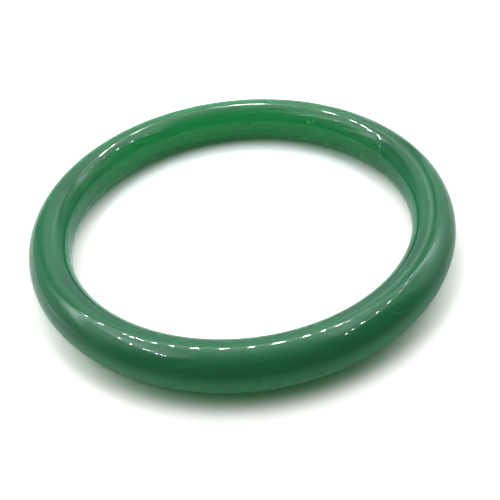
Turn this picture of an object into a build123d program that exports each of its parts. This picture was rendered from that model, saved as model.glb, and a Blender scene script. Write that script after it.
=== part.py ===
from build123d import *
import os

# Closed bangle cut from one piece of stone: a ring with a rounded, slightly upright
# oval section.  It has no clasp, hinge or fitting.  Sizes are in millimetres.
# The origin is on the ring's axis, at the level of the foot that it lies on, and +Z
# is the ring's axis.

# ---- driving dimensions -------------------------------------------------------------
inner_diameter = 58.0         # hand opening, across the cylindrical land
wall = 6.9                    # radial thickness, from the hand opening to the belly
height = 7.7                  # from the foot to the crown
land_height = 1.0             # cylindrical land half way up the hand opening
flat_width = 0.3              # flat ring polished on the crown and on the foot
inner_shoulder = 3.3          # radial run of the rounding between the land and a flat

# ---- derived dimensions -------------------------------------------------------------
inner_radius = inner_diameter / 2
outer_radius = inner_radius + wall
flat_inner_radius = inner_radius + inner_shoulder
flat_outer_radius = flat_inner_radius + flat_width
belly_depth = outer_radius - flat_outer_radius
mid_height = height / 2
lower_land = mid_height - land_height / 2
upper_land = mid_height + land_height / 2


def quarter_oval(centre, radial_run, rise, start_angle):
    """A quarter of an ellipse in the section plane, a quarter turn on from start_angle."""
    return EllipticalCenterArc(
        centre, radial_run, rise, start_angle=start_angle, arc_size=90
    )


def ring_section():
    """The closed outline that is turned about the axis, each run tangent to the next."""
    belly_centre = (flat_outer_radius, mid_height)
    lower_shoulder_centre = (flat_inner_radius, lower_land)
    upper_shoulder_centre = (flat_inner_radius, upper_land)
    foot = Line((flat_inner_radius, 0), (flat_outer_radius, 0))
    lower_belly = quarter_oval(belly_centre, belly_depth, mid_height, 270)
    upper_belly = quarter_oval(belly_centre, belly_depth, mid_height, 0)
    crown = Line((flat_outer_radius, height), (flat_inner_radius, height))
    upper_shoulder = quarter_oval(upper_shoulder_centre, inner_shoulder, lower_land, 90)
    land = Line((inner_radius, upper_land), (inner_radius, lower_land))
    lower_shoulder = quarter_oval(lower_shoulder_centre, inner_shoulder, lower_land, 180)
    outline = [foot, lower_belly, upper_belly, crown, upper_shoulder, land, lower_shoulder]
    return make_face(Wire(outline))


def bangle():
    """The whole ring: its section turned once round the axis."""
    return revolve(Plane.XZ * ring_section(), Axis.Z, 360)


os.makedirs("parts", exist_ok=True)
export_step(bangle(), "parts/bangle.step")
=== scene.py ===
import math
import bpy
from mathutils import Matrix, Vector


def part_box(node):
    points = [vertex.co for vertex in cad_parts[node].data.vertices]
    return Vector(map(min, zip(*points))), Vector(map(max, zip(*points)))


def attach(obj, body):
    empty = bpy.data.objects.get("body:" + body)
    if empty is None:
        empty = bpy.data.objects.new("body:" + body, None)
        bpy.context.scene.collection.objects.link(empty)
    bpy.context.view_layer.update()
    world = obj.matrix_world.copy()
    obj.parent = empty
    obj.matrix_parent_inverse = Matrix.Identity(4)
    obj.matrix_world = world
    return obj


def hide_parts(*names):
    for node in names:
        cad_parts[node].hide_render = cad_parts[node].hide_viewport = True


# A closed bangle of polished green stone.  The ring is turned from its oval section, and
# stands for the CAD solid of the same size.  It lies on white paper in a soft white tent.

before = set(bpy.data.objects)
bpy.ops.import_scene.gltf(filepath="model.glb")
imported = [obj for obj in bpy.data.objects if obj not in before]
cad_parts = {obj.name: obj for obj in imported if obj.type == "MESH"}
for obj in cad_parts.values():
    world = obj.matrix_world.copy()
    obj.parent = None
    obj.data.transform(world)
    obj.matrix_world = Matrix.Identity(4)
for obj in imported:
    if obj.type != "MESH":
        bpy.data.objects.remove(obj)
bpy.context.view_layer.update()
scene = bpy.context.scene
low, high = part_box("bangle")

# ---- sizes of the ring, in metres ----------------------------------------------------
outer_radius = (high.x - low.x) / 2
height = high.z - low.z
mid_height = (low.z + high.z) / 2
wall = 0.0069
inner_shoulder = 0.0033       # radial run of the rounding towards the hand opening
flat_width = 0.0003           # flat ring on the crown and on the foot
land_height = 0.001           # upright land in the hand opening
inner_radius = outer_radius - wall
flat_inner_radius = inner_radius + inner_shoulder
flat_outer_radius = flat_inner_radius + flat_width
flat_middle_radius = flat_inner_radius + flat_width / 2
belly_depth = wall - inner_shoulder - flat_width
half_height = height / 2
half_land = land_height / 2
shoulder_rise = half_height - half_land
section_points = 128
turning_steps = 512
weld_distance = 0.000005      # the first and the last turning step meet


# ---- shader maths ---------------------------------------------------------------------
class Signal:
    """The output of a node.  Arithmetic on it adds the Math nodes."""

    def __init__(self, board, socket):
        self.board = board
        self.socket = socket

    def out(self, name):
        """Another output of the same node."""
        return Signal(self.board, self.socket.node.outputs[name])

    def maths(self, operation, *inputs):
        sockets = dict(enumerate(inputs))
        return self.board.node("ShaderNodeMath", {"operation": operation}, sockets)

    def __add__(self, other):
        return self.maths("ADD", self, other)

    def __radd__(self, other):
        return self.maths("ADD", other, self)

    def __sub__(self, other):
        return self.maths("SUBTRACT", self, other)

    def __rsub__(self, other):
        return self.maths("SUBTRACT", other, self)

    def __mul__(self, other):
        return self.maths("MULTIPLY", self, other)

    def __rmul__(self, other):
        return self.maths("MULTIPLY", other, self)

    def __truediv__(self, other):
        return self.maths("DIVIDE", self, other)

    def __rtruediv__(self, other):
        return self.maths("DIVIDE", other, self)

    def __pow__(self, other):
        return self.maths("POWER", self, other)

    def __rpow__(self, other):
        return self.maths("POWER", other, self)

    def __neg__(self):
        return self.maths("MULTIPLY", self, -1.0)

    def __abs__(self):
        return self.maths("ABSOLUTE", self)


class Board:
    """The node tree of one material or world."""

    def __init__(self, tree):
        self.tree = tree
        self.tree.nodes.clear()

    def node(self, kind, settings=None, sockets=None, output=0):
        """Adds a node: its settings first, then the values or links of its sockets."""
        made = self.tree.nodes.new(kind)
        for name, value in (settings or {}).items():
            setattr(made, name, value)
        for name, value in (sockets or {}).items():
            if isinstance(value, Signal):
                self.tree.links.new(value.socket, made.inputs[name])
            else:
                made.inputs[name].default_value = value
        if not made.outputs:
            return None
        return Signal(self, made.outputs[output])

    def read_place(self):
        """Takes up the object coordinates, as a vector and as its three parts."""
        self.place = self.node("ShaderNodeTexCoord").out("Object")
        parts = self.node("ShaderNodeSeparateXYZ", None, {"Vector": self.place})
        self.x = parts.out("X")
        self.y = parts.out("Y")
        self.z = parts.out("Z")

    def radius(self):
        """The distance from the ring's axis."""
        return (self.x * self.x + self.y * self.y) ** 0.5

    def soft_step(self, value, start, end, first_value=0.0, last_value=1.0):
        """Eases from first_value to last_value as value goes from start to end."""
        settings = {"interpolation_type": "SMOOTHSTEP", "clamp": True}
        sockets = {"Value": value, "From Min": start, "From Max": end}
        sockets.update({"To Min": first_value, "To Max": last_value})
        return self.node("ShaderNodeMapRange", settings, sockets)

    def fade(self, value, start, end, peak=1.0):
        """Eases from peak down to nothing as value goes from start to end."""
        return self.soft_step(value, start, end, peak, 0.0)

    def ridge(self, value, middle, half_width, peak=1.0):
        """A soft ridge that is highest where value is at middle."""
        return self.fade(abs(value - middle), 0.0, half_width, peak)

    def larger(self, first, second):
        return self.node("ShaderNodeMath", {"operation": "MAXIMUM"}, {0: first, 1: second})

    def blend(self, amount, first, second):
        """Goes from the first number to the second as amount goes from 0 to 1."""
        settings = {"data_type": "FLOAT"}
        return self.node("ShaderNodeMix", settings, {0: amount, 2: first, 3: second})

    def colour_mix(self, amount, first, second, blend_type="MIX"):
        """Goes from the first colour to the second as amount goes from 0 to 1."""
        settings = {"data_type": "RGBA", "blend_type": blend_type}
        sockets = {0: amount, 6: first, 7: second}
        return self.node("ShaderNodeMix", settings, sockets, output=2)

    def tinted(self, colour, tint):
        """One colour multiplied by another, or by a number."""
        return self.colour_mix(1.0, colour, tint, "MULTIPLY")


def new_material(name):
    material = bpy.data.materials.new(name)
    material.use_nodes = True
    board = Board(material.node_tree)
    board.read_place()
    return material, board


# ---- modelling ------------------------------------------------------------------------
def start_piece(name):
    """Names the primitive that was just added and puts its place in its mesh."""
    piece = bpy.context.active_object
    piece.name = name
    piece.data.name = name
    bpy.ops.object.transform_apply(location=True, rotation=True, scale=True)
    return piece


def select_points(piece, chosen):
    """Selects the points for which chosen(place) is true.  The piece is in edit mode."""
    bpy.ops.mesh.select_all(action="DESELECT")
    bpy.ops.object.mode_set(mode="OBJECT")
    for point in piece.data.vertices:
        point.select = chosen(point.co)
    bpy.ops.object.mode_set(mode="EDIT")
    bpy.ops.mesh.select_mode(type="VERT")


def move(distance):
    bpy.ops.transform.translate(value=distance)


def resize(factors, centre):
    bpy.ops.transform.resize(value=factors, center_override=centre)


def turned_ring():
    """The bangle: an oval set on edge, split for its flats and its land, and turned."""
    middle = (flat_middle_radius, 0, mid_height)
    half_step = math.pi / section_points
    bpy.ops.object.select_all(action="DESELECT")
    bpy.ops.mesh.primitive_circle_add(
        vertices=section_points,
        radius=belly_depth,
        location=middle,
        rotation=(math.pi / 2, half_step, 0),
    )
    ring = start_piece("bangle_stone")
    bpy.ops.object.mode_set(mode="EDIT")
    bpy.ops.mesh.select_mode(type="VERT")
    bpy.ops.mesh.select_all(action="SELECT")
    resize((1, 1, half_height / belly_depth), middle)

    # the half towards the hand opening has its own rounding
    select_points(ring, lambda point: point.x < flat_middle_radius)
    resize((inner_shoulder / belly_depth, 1, shoulder_rise / half_height), middle)

    # the two halves part for the flat rings, and the inner one parts for the land
    move((-flat_width / 2, 0, 0))
    select_points(ring, lambda point: point.x > flat_middle_radius)
    move((flat_width / 2, 0, 0))
    select_points(ring, lambda point: point.x < flat_middle_radius and point.z > mid_height)
    move((0, 0, half_land))
    select_points(ring, lambda point: point.x < flat_middle_radius and point.z < mid_height)
    move((0, 0, -half_land))

    # the section is turned once round the axis
    bpy.ops.mesh.select_all(action="SELECT")
    bpy.ops.mesh.spin(
        steps=turning_steps, angle=2 * math.pi, center=(0, 0, 0), axis=(0, 0, 1)
    )
    bpy.ops.mesh.select_all(action="SELECT")
    bpy.ops.mesh.remove_doubles(threshold=weld_distance)
    bpy.ops.mesh.normals_make_consistent(inside=False)
    bpy.ops.object.mode_set(mode="OBJECT")
    bpy.ops.object.shade_smooth()
    return ring


# ---- marks on the stone ---------------------------------------------------------------
# Each has the angle round the ring from the front, the angle round the section from the
# belly (90 is the crown, 180 the hand opening), and the radius in metres.
pits = (
    (172, 173, 0.00040),
    (-171, 182, 0.00030),
    (-166, 178, 0.00028),
    (-144, 154, 0.00028),
    (-127, 168, 0.00028),
    (-113, 172, 0.00030),
    (-102, 168, 0.00030),
    (-80, 159, 0.00030),
    (-76, 153, 0.00030),
    (75, 168, 0.00030),
    (81, 182, 0.00028),
    (114, 180, 0.00034),
    (118, 179, 0.00030),
    (0, 9, 0.00020),
)
pale_marks = (
    (148, 155, 0.00055),
    (146, 150, 0.00035),
    (123, 192, 0.00040),
    (115, 141, 0.00045),
    (114, 150, 0.00040),
    (113, 159, 0.00035),
    (-15, 33, 0.00018),
    (-12.4, 13, 0.00014),
    (-12.5, 7, 0.00014),
    (-12.5, 0, 0.00014),
)
# A scratch has the same two angles for its start and for its end.
scratches = (
    ((-25, 23), (-12, 51)),
    ((33, 52), (39, 27)),
    ((-21, 20), (-14, 30)),
    ((8, 62), (17, 70)),
    ((152, 130), (160, 118)),
    ((-64, 75), (-60, 96)),
    ((100, 60), (104, 84)),
)
scratch_half_width = 0.00007
# Dust sits in a few of many small cells: how many to the metre, and which of them
dust_cells = 420.0
dusty_cells = (0.80, 0.84)
speck_size = (0.020, 0.055)            # as a share of a cell


def on_ring(turn, tilt):
    """The place on the ring's surface at two angles in degrees, as for the marks."""
    turn = math.radians(turn)
    tilt = math.radians(tilt)
    if math.cos(tilt) > 0:
        radius = flat_outer_radius + belly_depth * math.cos(tilt)
        rise = half_height * math.sin(tilt)
    else:
        radius = flat_inner_radius + inner_shoulder * math.cos(tilt)
        land = math.copysign(half_land, math.sin(tilt))
        rise = shoulder_rise * math.sin(tilt) + land
    return Vector((radius * math.sin(turn), -radius * math.cos(turn), mid_height + rise))


def vector_number(board, operation, vector):
    """A number from the object coordinates and a fixed vector."""
    sockets = {0: board.place, 1: vector}
    return board.node("ShaderNodeVectorMath", {"operation": operation}, sockets).out("Value")


def spot(board, centre, radius):
    """A small soft round mark about a place on the ring."""
    gap = vector_number(board, "DISTANCE", centre)
    return board.fade(gap, radius * 0.2, radius)


def spots(board, marks):
    """All the round marks of a list as one mask."""
    return sum(spot(board, on_ring(turn, tilt), radius) for turn, tilt, radius in marks)


def scratch(board, start, end):
    """A hair line over the surface from one place to another, fading at both ends."""
    first = on_ring(*start)
    last = on_ring(*end)
    middle = (first + last) / 2
    core = Vector((middle.x, middle.y, 0)).normalized() * flat_middle_radius
    core.z = mid_height
    across = (last - first).cross(middle - core).normalized()
    side = vector_number(board, "DOT_PRODUCT", across)
    line = board.fade(abs(side - middle.dot(across)), 0.0, scratch_half_width)
    gap = vector_number(board, "DISTANCE", middle)
    reach = (last - first).length / 2
    return line * board.fade(gap, reach * 0.6, reach)


def dust(board):
    """Sparse specks, smaller than a grain of sand."""
    sockets = {"Vector": board.place, "Scale": dust_cells}
    cells = board.node("ShaderNodeTexVoronoi", {"feature": "F1"}, sockets)
    parts = board.node("ShaderNodeSeparateColor", None, {"Color": cells.out("Color")})
    chosen = board.soft_step(parts.out("Red"), *dusty_cells)
    return board.fade(cells.out("Distance"), *speck_size) * chosen


# ---- the stone ------------------------------------------------------------------------
# Red, green and blue of each zone, as the two shades between which the clouds vary.  The zones are
# painted light and shade that stand in for light travelling inside the stone: darker at the back,
# lighter in front and on the lips, lighter still at the foot, and darker on the inner shoulder at
# the front.
back_painted_low_shades = ((0.0102, 0.039, 0.029, 1), (0.0120, 0.046, 0.035, 1))
back_painted_top_shades = ((0.0124, 0.034, 0.025, 1), (0.0148, 0.041, 0.031, 1))
front_painted_foot_shades = ((0.0200, 0.176, 0.067, 1), (0.0240, 0.205, 0.080, 1))
front_painted_belt_shades = ((0.0146, 0.107, 0.045, 1), (0.0175, 0.126, 0.053, 1))
front_painted_top_shades = ((0.0148, 0.114, 0.048, 1), (0.0176, 0.134, 0.057, 1))
front_painted_bore_shades = ((0.0155, 0.120, 0.051, 1), (0.0185, 0.140, 0.061, 1))
front_painted_edge_shades = ((0.0095, 0.068, 0.034, 1), (0.0112, 0.080, 0.041, 1))
pale_grit = (0.16, 0.36, 0.24, 1)
pit_shadow = (0.004, 0.018, 0.010, 1)

# How far red, green and blue light travels in the stone, as a share of the depth, and
# the depths, in metres
light_reach = (0.25, 1.0, 0.45)
front_painted_depth = 0.0010
back_painted_depth = 0.0020
back_painted_bore_depth = 0.0025

# How much the surface mirrors, by its index of refraction
polished_ior = 1.54
honed_ior = 1.28
grit_ior = 1.50
pit_ior = 1.10

# Roughness: the turning lines go from the first to the second, and honing adds to it
smooth_line = 0.025
rough_line = 0.045
honing = 0.03
grit_roughness = 0.45
pit_roughness = 0.8

# Relief: the height of one wave, in metres, and the rest as shares of that height
wave_height = 0.00003
line_height = 0.02
pit_depth = 1.5
scratch_depth = 0.12

# The turning lines run round the ring: how fast they change round it, outwards and upwards
lines_round = 50
lines_outwards = 1400
lines_upwards = 1000

# How much of the stone each kind of mark covers up
pale_mark_cover = 0.18
dust_cover = 0.5
scratch_cover = 0.15
pit_cover = 0.95

# Where each zone begins and ends, in metres
crown_zone = (0.0064, 0.0076)          # height, counted higher outside the crown's middle
crown_middle = 0.0303
crown_lean = 0.3
outer_zone = (0.0318, 0.0330)          # radius
outer_lip_zone = (0.0330, 0.0340)      # radius
low_lip_zone = (0.0007, 0.0017)        # height
front_zone = (0.000, 0.014)            # towards the back, and the clouds move its end
front_wander = 0.01
upper_zone = (0.0064, 0.0072)          # height, on the outside
foot_zone = (0.0040, 0.0058)           # height, on the outside
rim_zone = (0.0048, 0.0062)            # height, in the hand opening
bore_edge_zone = (0.0056, 0.0066)      # height, in the hand opening
crown_edge_zone = (0.0306, 0.0324)     # radius
dark_edge_zone = (-0.020, -0.006)      # towards the back


def noise(board, vector, scale, detail, roughness):
    sockets = {"Vector": vector, "Scale": scale, "Detail": detail, "Roughness": roughness}
    return board.node("ShaderNodeTexNoise", None, sockets)


def plain_finish(board, colour, roughness, normal, ior):
    """Grit and dust: no light passes through."""
    sockets = {"Base Color": colour, "Roughness": roughness, "Normal": normal, "IOR": ior}
    return board.node("ShaderNodeBsdfPrincipled", None, sockets)


def stone_finish(board, colour, roughness, normal, ior, depth):
    """The translucent stone under one grade of polish."""
    return board.node(
        "ShaderNodeBsdfPrincipled",
        {"subsurface_method": "RANDOM_WALK_SKIN"},
        {
            "Base Color": colour,
            "Roughness": roughness,
            "Normal": normal,
            "IOR": ior,
            "Subsurface Weight": 1.0,
            "Subsurface Radius": light_reach,
            "Subsurface Scale": depth,
        },
    )


def mixed(board, share, first, second):
    """Goes from the first finish to the second as share goes from 0 to 1."""
    return board.node("ShaderNodeMixShader", None, {0: share, 1: first, 2: second})


def front_painted_colours(board, cloud, radius):
    """The colours of the front zone and the lips, on the outside and in the hand opening, with
    painted light and shade: lighter at the foot, darker on the inner shoulder at the front.
    """
    belt = board.colour_mix(cloud, *front_painted_belt_shades)
    top = board.colour_mix(cloud, *front_painted_top_shades)
    foot = board.colour_mix(cloud, *front_painted_foot_shades)
    bore = board.colour_mix(cloud, *front_painted_bore_shades)
    edge = board.colour_mix(cloud, *front_painted_edge_shades)
    # painted shade: towards the front the inner shoulder takes the darker edge colours
    edge = board.colour_mix(board.soft_step(board.y, *dark_edge_zone), edge, top)
    bore = board.colour_mix(board.soft_step(board.z, *bore_edge_zone), bore, edge)
    top = board.colour_mix(board.soft_step(radius, *crown_edge_zone), edge, top)
    upper = board.soft_step(board.z, *upper_zone)
    # painted light: the foot of the outside is lighter
    low_band = board.fade(board.z, *foot_zone)
    outside = board.colour_mix(low_band, board.colour_mix(upper, belt, top), foot)
    return outside, bore


def stone():
    """Polished green stone with painted light and shade in zones: darker colours with deeper light
    at the back, lighter ones with shallower light in front and on the lips, softer in the opening.
    """
    material, board = new_material("polished_green_stone")
    radius = board.radius()
    cloud = noise(board, board.place, scale=90.0, detail=4.0, roughness=0.55)

    # relief: the slow waves and the fine turning lines that polishing leaves
    turning = {
        "X": board.x * lines_round,
        "Y": board.y * lines_round,
        "Z": radius * lines_outwards + board.z * lines_upwards,
    }
    turned = board.node("ShaderNodeCombineXYZ", None, turning)
    lines = noise(board, turned, scale=1.0, detail=3.0, roughness=0.6)
    waves = noise(board, board.place, scale=200.0, detail=1.0, roughness=0.4)
    dents = spots(board, pits)
    hairs = sum(scratch(board, start, end) for start, end in scratches)
    relief = waves + lines * line_height - dents * pit_depth - hairs * scratch_depth
    sockets = {"Strength": 1.0, "Distance": wave_height, "Height": relief}
    normal = board.node("ShaderNodeBump", None, sockets)
    gloss = board.soft_step(lines, 0.30, 0.70, smooth_line, rough_line)
    soft_gloss = gloss + honing

    # zones
    leaning_height = board.z + (radius - crown_middle) * crown_lean
    crown = board.soft_step(leaning_height, *crown_zone)
    outer = board.soft_step(radius, *outer_zone)
    low_lip = board.fade(board.z, *low_lip_zone)
    outer_lip = board.soft_step(radius, *outer_lip_zone)
    # painted light and shade: the front, and the lips at the foot and the outer edge all round,
    # take the front zone's colours, and the rest takes the back zone's
    front = board.fade(board.y + (cloud - 0.5) * front_wander, *front_zone)
    front_painted_share = board.larger(front, board.larger(low_lip, outer_lip))

    # colours, painted lighter or darker by zone
    back_painted_low = board.colour_mix(cloud, *back_painted_low_shades)
    back_painted_top = board.colour_mix(cloud, *back_painted_top_shades)
    back_painted_outside = board.colour_mix(crown, back_painted_low, back_painted_top)
    back_painted_bore = board.colour_mix(board.soft_step(board.z, *rim_zone), back_painted_low, back_painted_top)
    front_painted_outside, front_painted_bore = front_painted_colours(board, cloud, radius)

    # the polished outside and the honed hand opening
    back_painted_polished = stone_finish(board, back_painted_outside, gloss, normal, polished_ior, back_painted_depth)
    front_painted_polished = stone_finish(board, front_painted_outside, gloss, normal, polished_ior, front_painted_depth)
    back_painted_honed = stone_finish(board, back_painted_bore, soft_gloss, normal, honed_ior, back_painted_bore_depth)
    front_painted_honed = stone_finish(board, front_painted_bore, soft_gloss, normal, honed_ior, front_painted_depth)
    polished = mixed(board, front_painted_share, back_painted_polished, front_painted_polished)
    honed = mixed(board, front_painted_share, back_painted_honed, front_painted_honed)
    surface = mixed(board, board.larger(crown, outer), honed, polished)

    # pale marks, dust and scratches, and then the dark pits
    pale = plain_finish(board, pale_grit, grit_roughness, normal, grit_ior)
    cover = spots(board, pale_marks) * pale_mark_cover + dust(board) * dust_cover
    cover = cover + hairs * scratch_cover
    surface = mixed(board, cover, surface, pale)
    dark = plain_finish(board, pit_shadow, pit_roughness, normal, pit_ior)
    surface = mixed(board, dents * pit_cover, surface, dark)
    board.node("ShaderNodeOutputMaterial", None, {"Surface": surface})
    return material


# ---- tent ------------------------------------------------------------------------------
tent_half_width = 0.190
tent_width = 2 * tent_half_width
tent_back = 0.215
tent_front = -0.155
tent_depth = tent_back - tent_front
tent_middle = (tent_back + tent_front) / 2
tent_top = mid_height + 0.300
cool_white = (0.92, 1.04, 1.04)
white = (1, 1, 1, 1)
black = (0, 0, 0, 1)


def grey(level):
    return (level, level, level, 1)


def panel(name, centre, size, turn):
    """A flat sheet of the tent: stage, and not part of the object."""
    bpy.ops.object.select_all(action="DESELECT")
    bpy.ops.mesh.primitive_plane_add(size=1, location=centre, rotation=turn)
    sheet = bpy.context.active_object
    sheet.scale = (size[0], size[1], 1)
    sheet = start_piece(name)
    return sheet


def glowing(sheet, brightness):
    """Lets a sheet shine by brightness(board), where 1 is white, unseen by the camera."""
    material, board = new_material(sheet.name)
    sockets = {0: cool_white, "Scale": brightness(board)}
    colour = board.node("ShaderNodeVectorMath", {"operation": "SCALE"}, sockets)
    light = board.node("ShaderNodeEmission", None, {"Color": colour, "Strength": 1.0})
    board.node("ShaderNodeOutputMaterial", None, {"Surface": light})
    sheet.data.materials.append(material)
    sheet.visible_camera = False


def ceiling_light(board):
    """Brighter to the back, with a strong panel at the left and a slanting one at the right."""
    y = board.y
    slant = 0.3
    centre = board.soft_step(y, -0.160, 0.280, 0.30, 2.00)
    left = board.soft_step(-board.x, 0.070, 0.170, 0.0, 2.0)
    left = left * board.soft_step(y, -0.160, -0.080)
    left = left * board.soft_step(y, 0.050, 0.120, 1.0, 0.4)
    right = board.ridge(board.x + slant * y, 0.123, 0.060, 1.1)
    right = right * board.soft_step(y, -0.130, -0.030)
    right = right * board.soft_step(y, 0.060, 0.130, 1.0, 0.2)
    return centre + left + right


def left_light(board):
    """A near and a far part, a bright slanting streak where they meet, and a bright top."""
    y = board.y
    z = board.z
    streak_height = 0.104
    streak_slope = 1.15
    along = y - (z - streak_height) / streak_slope
    near = board.soft_step(y, -0.150, 0.030, 0.25, 1.15)
    near = near * board.soft_step(z, 0.030, 0.200, 0.40, 1.1)
    far = board.soft_step(y, -0.045, 0.010, 0.33, 0.52)
    far = far - board.soft_step(y, 0.130, 0.180, 0.0, 0.30)
    far = far + board.fade(z, 0.0, 0.050, 0.45) * board.soft_step(y, 0.060, 0.110)
    base = board.blend(board.soft_step(along, -0.005, 0.025), near, far)
    behind_streak = board.ridge(along, 0.0, 0.060) * board.soft_step(along, -0.001, 0.0)
    streak = board.larger(behind_streak, board.ridge(along, 0.0, 0.042))
    streak = streak * board.soft_step(z, 0.070, 0.190, 0.0, 4.0)
    streak = streak * board.fade(y + z, 0.390, 0.450)
    glow = board.ridge(y, 0.090, 0.045) * board.ridge(z, 0.135, 0.050, 0.5)
    top = board.soft_step(z, 0.268, 0.288, 0.0, 2.0) * board.soft_step(y, 0.140, 0.175, 1.0, 0.1)
    return base + streak + glow + top


def right_light(board):
    """Dark in front, with a broad and a narrow slanting streak, and a bright top."""
    y = board.y
    z = board.z
    streak_place = 0.078
    streak_height = 0.128
    streak_slope = 1.28
    along = y - streak_place - (z - streak_height) / streak_slope
    base = board.soft_step(y, -0.060, -0.005, 0.10, 0.72)
    base = base * board.soft_step(z, -0.010, 0.050, 0.7, 1.0)
    broad = board.ridge(along, 0.0, 0.110) * board.soft_step(z, 0.040, 0.130, 0.0, 0.9)
    narrow = board.ridge(along, 0.0, 0.055) * board.soft_step(z, 0.090, 0.210, 0.0, 2.2)
    top = board.soft_step(z, 0.268, 0.288, 0.0, 1.8) * board.soft_step(y, -0.125, -0.105)
    return base + broad + narrow + top


def back_light(board):
    """Brighter upwards, with a dark corner at the left and a dark seam at the right."""
    x = board.x
    z = board.z
    seam_place = 0.110
    seam_bend = 0.160
    seam_lean = 0.33
    rising = board.soft_step(z, 0.100, 0.260, 0.80, 1.15)
    left_gap = board.fade(x, -0.170, -0.080, 0.72) * board.soft_step(z, 0.020, 0.090)
    seam = seam_place + board.larger(seam_bend - z, 0.0) * seam_lean
    right_gap = board.fade(abs(x - seam), 0.004, 0.030, 0.66)
    patch = board.ridge(x, 0.040, 0.050) * board.ridge(z, 0.180, 0.075, 0.85)
    top = board.soft_step(z, 0.262, 0.290, 0.0, 1.5) * board.soft_step(x, -0.150, -0.115, 0.1, 1.0)
    return rising * (1.0 - left_gap) * (1.0 - right_gap) + patch + top


def front_dark(board):
    """The dark side behind the camera, with two faint upright strips."""
    glimmer = board.ridge(board.x, -0.070, 0.014, 0.06) + board.ridge(board.x, 0.090, 0.018, 0.06)
    return board.soft_step(board.z, 0.150, 0.300, 0.10, 0.32) + glimmer


def build_tent():
    middle_z = tent_top / 2
    side_size = (tent_top, tent_depth)
    end_size = (tent_width, tent_top)
    lying = (0, 0, 0)
    side_on = (0, math.pi / 2, 0)
    end_on = (math.pi / 2, 0, 0)
    left_centre = (-tent_half_width, tent_middle, middle_z)
    right_centre = (tent_half_width, tent_middle, middle_z)
    ceiling_centre = (0, tent_middle, tent_top)
    ceiling = panel("tent_ceiling", ceiling_centre, (tent_width, tent_depth), lying)
    glowing(ceiling, ceiling_light)
    glowing(panel("tent_left", left_centre, side_size, side_on), left_light)
    glowing(panel("tent_right", right_centre, side_size, side_on), right_light)
    glowing(panel("tent_back", (0, tent_back, middle_z), end_size, end_on), back_light)
    glowing(panel("tent_front", (0, tent_front, middle_z), end_size, end_on), front_dark)


# ---- lamps -----------------------------------------------------------------------------
bead_gap = 0.006              # from the ceiling to the middles of the beads
side_gap = 0.004              # from a side of the tent to the middles of the beads
arc_flatness = 0.3            # how deep the arc bulges, as a share of its reach


def bead(name, place, power, radius):
    """One small round lamp of a strip of lights."""
    lamp = bpy.data.lights.new(name, "POINT")
    lamp.energy = power
    lamp.shadow_soft_size = radius
    lamp_object = bpy.data.objects.new(name, lamp)
    lamp_object.location = place
    lamp_object.visible_camera = False
    scene.collection.objects.link(lamp_object)


def bead_row(name, start, end, count, power, radius):
    """Beads evenly spaced between two places."""
    for number in range(count):
        share = number / (count - 1)
        bead(name, Vector(start).lerp(Vector(end), share), power, radius)


def bead_arc(name, centre, reach, half_angle, count, power, radius):
    """Beads evenly spaced round a flat arc that bulges away from the bangle."""
    for number in range(count):
        share = number / (count - 1)
        angle = math.radians(-half_angle + 2 * half_angle * share)
        out = (reach * math.sin(angle), reach * arc_flatness * math.cos(angle), 0)
        bead(name, Vector(centre) + Vector(out), power, radius)


def build_lamps():
    """Strips of beads just under the ceiling, all dim, for the dots of light on the crown."""
    top = tent_top - bead_gap
    side = tent_half_width - side_gap
    bead_row(
        "left_front_beads", (-side, -0.150, top), (-side, -0.049, top),
        count=7, power=0.030, radius=0.0016,
    )
    bead_row(
        "left_beads", (-side, -0.096, top), (-side, 0.045, top),
        count=4, power=0.045, radius=0.0026,
    )
    bead_row(
        "left_back_beads", (-0.158, 0.197, top), (-0.097, 0.209, top),
        count=3, power=0.045, radius=0.0026,
    )
    bead_arc(
        "back_beads", (-0.012, 0.180, top), reach=0.088, half_angle=72,
        count=12, power=0.075, radius=0.0026,
    )
    bead_row(
        "right_beads", (side, -0.100, top), (side, 0.062, top),
        count=4, power=0.07, radius=0.0036,
    )
    bead_row(
        "right_back_beads", (0.182, 0.114, top), (0.150, 0.209, top),
        count=3, power=0.022, radius=0.0030,
    )
    bead_row(
        "right_front_beads", (side, -0.134, top), (side, -0.118, top),
        count=2, power=0.030, radius=0.0016,
    )


# ---- floor -----------------------------------------------------------------------------
# How the paper shows, where 1 is white: to the camera, to the light that it sends back to the
# stone, and in the polish.  In the polish the paper is painted dark in front: a painted
# reflection.
paper_seen = (1.50, 1.36, 1.33, 1)
paper_level = 0.88
mirrored_front = 0.05
mirrored_back = 1.2
green_shade = (0.27, 0.38, 0.28, 1)       # painted shade where the ring meets the paper, tinted green for the light that goes through the stone
opening_painted_shade = (0.74, 0.84, 0.83, 1)      # the wider painted shade inside the ring, at the back
mirrored_green_light = (0.80, 1.0, 0.90, 1)         # painted green light on the paper inside the ring, in the polish
front_foot_glow = (0.010, 0.055, 0.018, 1)
back_foot_glow = (0.010, 0.075, 0.022, 1)
haze_front = 0.08
haze_back = 0.14
haze_near_ring = (0.24, 0.26, 0.24, 1)
haze_at_foot = (0.060, 0.130, 0.080, 1)
inner_shade = 0.85            # the shade inside the ring, as a share of the one outside it
dark_reflection_turn = 0.13             # how far the end of the painted dark reflection is turned
left_back_gain = 0.40
right_loss = 0.45
left_far_loss = 0.40


def mirrored_gain(board, radius):
    """How much brighter or darker parts of the paper are in the polish, 1 being as it is."""
    x = board.x
    y = board.y
    left_back = board.soft_step(-x, 0.010, 0.030) * board.soft_step(y, 0.004, 0.016)
    left_back = left_back * board.fade(radius, 0.0300, 0.0340)
    right_back = board.soft_step(x, 0.020, 0.030) * board.soft_step(y, 0.008, 0.018)
    right_far = board.soft_step(x, 0.038, 0.056) * board.soft_step(y, -0.020, -0.006)
    left_far = board.soft_step(-x, 0.040, 0.052) * board.soft_step(y, -0.012, 0.006)
    dimmer = board.larger(right_back, right_far) * right_loss + left_far * left_far_loss
    return 1.0 + left_back * left_back_gain - dimmer


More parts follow.
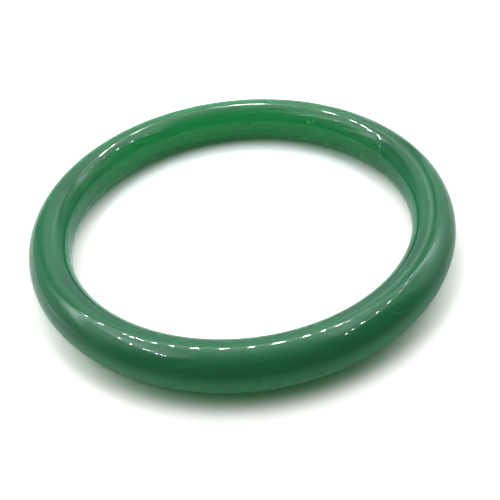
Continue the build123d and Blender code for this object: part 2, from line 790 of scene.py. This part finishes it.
def mirrored_haze(board, radius, in_front, close):
    """The faint light of the paper in the polish, with three lighter patches."""
    x = board.x
    y = board.y
    # painted reflection: the haze is fainter in front
    dark_reflection_end = board.soft_step(y, -0.050, -0.030)
    haze = board.colour_mix(dark_reflection_end, grey(haze_front), grey(haze_back))
    near_ring = board.fade(radius, 0.0370, 0.0500) * in_front
    haze = board.colour_mix(near_ring, haze, haze_near_ring)
    haze = board.colour_mix(close, haze, haze_at_foot)
    in_opening = board.fade(radius, 0.0275, 0.0300)
    right_inside = board.soft_step(abs(x), 0.010, 0.022) * board.ridge(y, -0.010, 0.024)
    right_inside = right_inside * in_opening * board.soft_step(x, -0.020, 0.020)
    left_inside = board.soft_step(-x, 0.015, 0.026) * board.ridge(y, -0.006, 0.018) * in_opening
    far_left = board.soft_step(-x, 0.050, 0.072) * board.soft_step(y, -0.036, -0.022)
    for patch, level in ((right_inside, 0.25), (left_inside, 0.55), (far_left, 0.36)):
        haze = board.colour_mix(patch, haze, grey(level))
    return haze


def build_floor():
    """White paper.

    Light that goes through the stone doesn't reach the paper in the render, so a green tint and a
    faint green glow near the foot stand in for it, and painted shade beside the foot deepens the
    ring's shadow.  What the polish mirrors of the paper has its own levels: painted reflections of
    parts of the surroundings that the tent leaves out.
    """
    floor = panel("floor", (0, tent_middle, 0), (tent_width, tent_depth), (0, 0, 0))
    material, board = new_material("white_paper")
    path = board.node("ShaderNodeLightPath")
    radius = board.radius()
    in_front = board.soft_step(-board.y, 0.016, 0.036)
    behind = board.soft_step(board.y, 0.002, 0.024)
    under_ring = board.fade(radius, 0.0320, 0.0340)

    # painted shade beside the foot: outside the ring in front, and inside it behind
    outside = board.fade(radius, 0.0350, 0.0390) * in_front
    inside = board.soft_step(radius, 0.0265, 0.0310) * behind
    foot_middle = board.soft_step(radius, 0.0305, 0.0315)
    shade = board.blend(foot_middle, inside * inner_shade, outside)
    shade_colour = board.colour_mix(shade, white, green_shade)

    # the paper as the camera sees it
    wide_painted_shade = board.soft_step(radius, 0.0180, 0.0280) * under_ring * behind
    seen = board.tinted(paper_seen, shade_colour)
    seen = board.tinted(seen, board.colour_mix(wide_painted_shade, white, opening_painted_shade))

    # the paper as the polish mirrors it, with painted reflection levels
    # painted reflection: in the polish the paper goes dark in front
    dark_reflection_end = board.soft_step(board.y - dark_reflection_turn * board.x, -0.050, 0.040)
    mirrored = board.colour_mix(dark_reflection_end, grey(mirrored_front), grey(mirrored_back))
    mirrored = board.tinted(mirrored, shade_colour)
    mirrored = board.tinted(mirrored, mirrored_gain(board, radius))
    green_light = board.soft_step(radius, 0.0150, 0.0290) * under_ring
    mirrored = board.tinted(mirrored, board.colour_mix(green_light, white, mirrored_green_light))

    colour = board.colour_mix(path.out("Is Glossy Ray"), grey(paper_level), mirrored)
    colour = board.colour_mix(path.out("Is Camera Ray"), colour, seen)
    paper = board.node("ShaderNodeBsdfDiffuse", None, {"Color": colour})

    # the glow at the foot, and the haze that the polish mirrors
    close = board.fade(radius, 0.0340, 0.0378) * board.soft_step(radius, 0.0280, 0.0315)
    foot_glow = board.colour_mix(behind, front_foot_glow, back_foot_glow)
    glow_colour = board.colour_mix(close, black, foot_glow)
    haze = mirrored_haze(board, radius, in_front, close)
    glow_colour = board.colour_mix(path.out("Is Glossy Ray"), glow_colour, haze)
    glow = board.node("ShaderNodeEmission", None, {"Color": glow_colour, "Strength": 1.0})
    surface = board.node("ShaderNodeAddShader", None, {0: paper, 1: glow})
    board.node("ShaderNodeOutputMaterial", None, {"Surface": surface})
    floor.data.materials.append(material)


def build_world():
    """Plain white beyond the tent."""
    world = bpy.data.worlds.new("white_surround")
    world.use_nodes = True
    scene.world = world
    board = Board(world.node_tree)
    light = board.node("ShaderNodeBackground", None, {"Color": white, "Strength": 1.0})
    board.node("ShaderNodeOutputWorld", None, {"Surface": light})


# ---- camera ---------------------------------------------------------------------------
camera_roll = math.radians(-6.38)


def build_camera():
    """Looks down on the bangle from close in front, rolled a little to one side."""
    eye = Vector((0, -0.09579, mid_height + 0.07696))
    aim = Vector((0.00105, -0.00864, mid_height))
    data = bpy.data.cameras.new("camera")
    data.lens = 51.406
    data.sensor_width = 36.0
    data.clip_start = 0.001
    data.clip_end = 10.0
    camera = bpy.data.objects.new("camera", data)
    towards = (aim - eye).to_track_quat("-Z", "Y").to_matrix().to_4x4()
    roll = Matrix.Rotation(camera_roll, 4, "Z")
    camera.matrix_world = Matrix.Translation(eye) @ towards @ roll
    scene.collection.objects.link(camera)
    scene.camera = camera


# ---- putting it together -----------------------------------------------------------------
ring = turned_ring()
ring.data.materials.append(stone())
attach(ring, "root")
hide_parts("bangle")

build_floor()
build_tent()
build_lamps()
build_world()
build_camera()

scene.view_settings.view_transform = "Standard"
